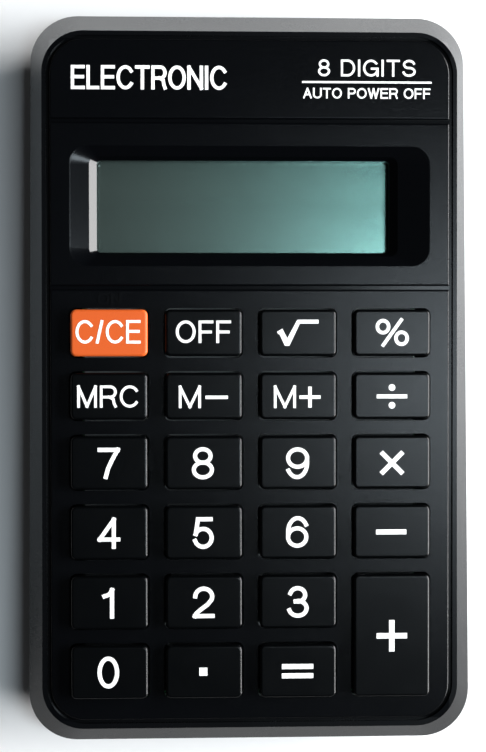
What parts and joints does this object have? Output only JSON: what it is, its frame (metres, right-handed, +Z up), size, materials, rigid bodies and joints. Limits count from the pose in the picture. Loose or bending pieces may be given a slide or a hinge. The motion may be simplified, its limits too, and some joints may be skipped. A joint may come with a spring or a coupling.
{
  "type": "pocket calculator",
  "caption": "Black pocket calculator with a tilted face, a recessed display, moulded keys in six rows and a sliding battery cover underneath.",
  "frame": {"origin": "on the desk, under the middle of the case", "axes": "+X to the right across the keys, +Y along the case towards the display end, +Z up from the desk"},
  "size_m": [0.069, 0.114, 0.0167],
  "materials": {
    "case_black": "fine moulded grain on the face, satin on the band",
    "key_black": "matte, printed legends",
    "key_orange": "matte, printed legend",
    "feet_rubber": "matte",
    "screw_steel": "zinc plated",
    "silicone": "translucent grey",
    "carbon": "matte carbon",
    "board_green": "solder mask",
    "epoxy_black": "glossy",
    "capacitor_sleeve": "shrink sleeve",
    "ceramic_tan": "dipped",
    "resistor_body": "lacquered",
    "clear_lens": "clear acrylic",
    "lcd_grey": "grey-green film",
    "lcd_glass": "clear glass",
    "clip_plastic": "satin",
    "ribbon_amber": "film",
    "cell_wrap": "printed wrap, metal ends",
    "contact_nickel": "nickel plated",
    "lead_red": "insulated wire",
    "lead_black": "insulated wire"
  },
  "bodies": {
    "case": {"front_housing": "case_black", "rear_housing": "case_black", "rubber_feet": "feet_rubber", "case_screws": "screw_steel", "board_screws": "screw_steel", "clip_screws": "screw_steel", "dome_sheet": "silicone", "contact_pills": "carbon", "contact_pads": "carbon", "circuit_board": "board_green", "chip_cover": "epoxy_black", "electrolytic_capacitor": "capacitor_sleeve", "ceramic_capacitor": "ceramic_tan", "resistor": "resistor_body", "display_window": "clear_lens", "lcd_front_polariser": "lcd_grey", "lcd_upper_glass": "lcd_glass", "lcd_lower_glass": "lcd_glass", "lcd_rear_reflector": "lcd_grey", "display_clip": "clip_plastic", "lcd_ribbon": "ribbon_amber", "battery_cell": "cell_wrap", "battery_plate": "contact_nickel", "battery_spring_plate": "contact_nickel", "battery_spring": "contact_nickel", "battery_lead_red": "lead_red", "battery_lead_black": "lead_black"},
    "key_clear": {"key_clear": "key_orange"},
    "key_off": {"key_off": "key_black"},
    "key_root": {"key_root": "key_black"},
    "key_percent": {"key_percent": "key_black"},
    "key_memory_recall": {"key_memory_recall": "key_black"},
    "key_memory_minus": {"key_memory_minus": "key_black"},
    "key_memory_plus": {"key_memory_plus": "key_black"},
    "key_divide": {"key_divide": "key_black"},
    "key_7": {"key_7": "key_black"},
    "key_8": {"key_8": "key_black"},
    "key_9": {"key_9": "key_black"},
    "key_multiply": {"key_multiply": "key_black"},
    "key_4": {"key_4": "key_black"},
    "key_5": {"key_5": "key_black"},
    "key_6": {"key_6": "key_black"},
    "key_minus": {"key_minus": "key_black"},
    "key_1": {"key_1": "key_black"},
    "key_2": {"key_2": "key_black"},
    "key_3": {"key_3": "key_black"},
    "key_0": {"key_0": "key_black"},
    "key_point": {"key_point": "key_black"},
    "key_equals": {"key_equals": "key_black"},
    "key_plus": {"key_plus": "key_black"},
    "battery_cover": {"battery_cover": "case_black"}
  },
  "joints": [
    {"name": "key_clear_press", "type": "slide", "parent": "case", "child": "key_clear", "axis": [0, 0.0523, -0.9986], "range_m": [0, 0.0011], "stiffness_N_per_m": 400, "springref_m": -0.0004, "deforming": ["dome_sheet", "contact_pills"]},
    {"name": "key_off_press", "type": "slide", "parent": "case", "child": "key_off", "axis": [0, 0.0523, -0.9986], "range_m": [0, 0.0011], "stiffness_N_per_m": 400, "springref_m": -0.0004, "deforming": ["dome_sheet", "contact_pills"]},
    {"name": "key_root_press", "type": "slide", "parent": "case", "child": "key_root", "axis": [0, 0.0523, -0.9986], "range_m": [0, 0.0011], "stiffness_N_per_m": 400, "springref_m": -0.0004, "deforming": ["dome_sheet", "contact_pills"]},
    {"name": "key_percent_press", "type": "slide", "parent": "case", "child": "key_percent", "axis": [0, 0.0523, -0.9986], "range_m": [0, 0.0011], "stiffness_N_per_m": 400, "springref_m": -0.0004, "deforming": ["dome_sheet", "contact_pills"]},
    {"name": "key_memory_recall_press", "type": "slide", "parent": "case", "child": "key_memory_recall", "axis": [0, 0.0523, -0.9986], "range_m": [0, 0.0011], "stiffness_N_per_m": 400, "springref_m": -0.0004, "deforming": ["dome_sheet", "contact_pills"]},
    {"name": "key_memory_minus_press", "type": "slide", "parent": "case", "child": "key_memory_minus", "axis": [0, 0.0523, -0.9986], "range_m": [0, 0.0011], "stiffness_N_per_m": 400, "springref_m": -0.0004, "deforming": ["dome_sheet", "contact_pills"]},
    {"name": "key_memory_plus_press", "type": "slide", "parent": "case", "child": "key_memory_plus", "axis": [0, 0.0523, -0.9986], "range_m": [0, 0.0011], "stiffness_N_per_m": 400, "springref_m": -0.0004, "deforming": ["dome_sheet", "contact_pills"]},
    {"name": "key_divide_press", "type": "slide", "parent": "case", "child": "key_divide", "axis": [0, 0.0523, -0.9986], "range_m": [0, 0.0011], "stiffness_N_per_m": 400, "springref_m": -0.0004, "deforming": ["dome_sheet", "contact_pills"]},
    {"name": "key_7_press", "type": "slide", "parent": "case", "child": "key_7", "axis": [0, 0.0523, -0.9986], "range_m": [0, 0.0011], "stiffness_N_per_m": 400, "springref_m": -0.0004, "deforming": ["dome_sheet", "contact_pills"]},
    {"name": "key_8_press", "type": "slide", "parent": "case", "child": "key_8", "axis": [0, 0.0523, -0.9986], "range_m": [0, 0.0011], "stiffness_N_per_m": 400, "springref_m": -0.0004, "deforming": ["dome_sheet", "contact_pills"]},
    {"name": "key_9_press", "type": "slide", "parent": "case", "child": "key_9", "axis": [0, 0.0523, -0.9986], "range_m": [0, 0.0011], "stiffness_N_per_m": 400, "springref_m": -0.0004, "deforming": ["dome_sheet", "contact_pills"]},
    {"name": "key_multiply_press", "type": "slide", "parent": "case", "child": "key_multiply", "axis": [0, 0.0523, -0.9986], "range_m": [0, 0.0011], "stiffness_N_per_m": 400, "springref_m": -0.0004, "deforming": ["dome_sheet", "contact_pills"]},
    {"name": "key_4_press", "type": "slide", "parent": "case", "child": "key_4", "axis": [0, 0.0523, -0.9986], "range_m": [0, 0.0011], "stiffness_N_per_m": 400, "springref_m": -0.0004, "deforming": ["dome_sheet", "contact_pills"]},
    {"name": "key_5_press", "type": "slide", "parent": "case", "child": "key_5", "axis": [0, 0.0523, -0.9986], "range_m": [0, 0.0011], "stiffness_N_per_m": 400, "springref_m": -0.0004, "deforming": ["dome_sheet", "contact_pills"]},
    {"name": "key_6_press", "type": "slide", "parent": "case", "child": "key_6", "axis": [0, 0.0523, -0.9986], "range_m": [0, 0.0011], "stiffness_N_per_m": 400, "springref_m": -0.0004, "deforming": ["dome_sheet", "contact_pills"]},
    {"name": "key_minus_press", "type": "slide", "parent": "case", "child": "key_minus", "axis": [0, 0.0523, -0.9986], "range_m": [0, 0.0011], "stiffness_N_per_m": 400, "springref_m": -0.0004, "deforming": ["dome_sheet", "contact_pills"]},
    {"name": "key_1_press", "type": "slide", "parent": "case", "child": "key_1", "axis": [0, 0.0523, -0.9986], "range_m": [0, 0.0011], "stiffness_N_per_m": 400, "springref_m": -0.0004, "deforming": ["dome_sheet", "contact_pills"]},
    {"name": "key_2_press", "type": "slide", "parent": "case", "child": "key_2", "axis": [0, 0.0523, -0.9986], "range_m": [0, 0.0011], "stiffness_N_per_m": 400, "springref_m": -0.0004, "deforming": ["dome_sheet", "contact_pills"]},
    {"name": "key_3_press", "type": "slide", "parent": "case", "child": "key_3", "axis": [0, 0.0523, -0.9986], "range_m": [0, 0.0011], "stiffness_N_per_m": 400, "springref_m": -0.0004, "deforming": ["dome_sheet", "contact_pills"]},
    {"name": "key_0_press", "type": "slide", "parent": "case", "child": "key_0", "axis": [0, 0.0523, -0.9986], "range_m": [0, 0.0011], "stiffness_N_per_m": 400, "springref_m": -0.0004, "deforming": ["dome_sheet", "contact_pills"]},
    {"name": "key_point_press", "type": "slide", "parent": "case", "child": "key_point", "axis": [0, 0.0523, -0.9986], "range_m": [0, 0.0011], "stiffness_N_per_m": 400, "springref_m": -0.0004, "deforming": ["dome_sheet", "contact_pills"]},
    {"name": "key_equals_press", "type": "slide", "parent": "case", "child": "key_equals", "axis": [0, 0.0523, -0.9986], "range_m": [0, 0.0011], "stiffness_N_per_m": 400, "springref_m": -0.0004, "deforming": ["dome_sheet", "contact_pills"]},
    {"name": "key_plus_press", "type": "slide", "parent": "case", "child": "key_plus", "axis": [0, 0.0523, -0.9986], "range_m": [0, 0.0011], "stiffness_N_per_m": 400, "springref_m": -0.0004, "deforming": ["dome_sheet", "contact_pills"]},
    {"name": "battery_cover_slide", "type": "slide", "parent": "case", "child": "battery_cover", "axis": [0, 1, 0], "range_m": [0, 0.022]}
  ]
}
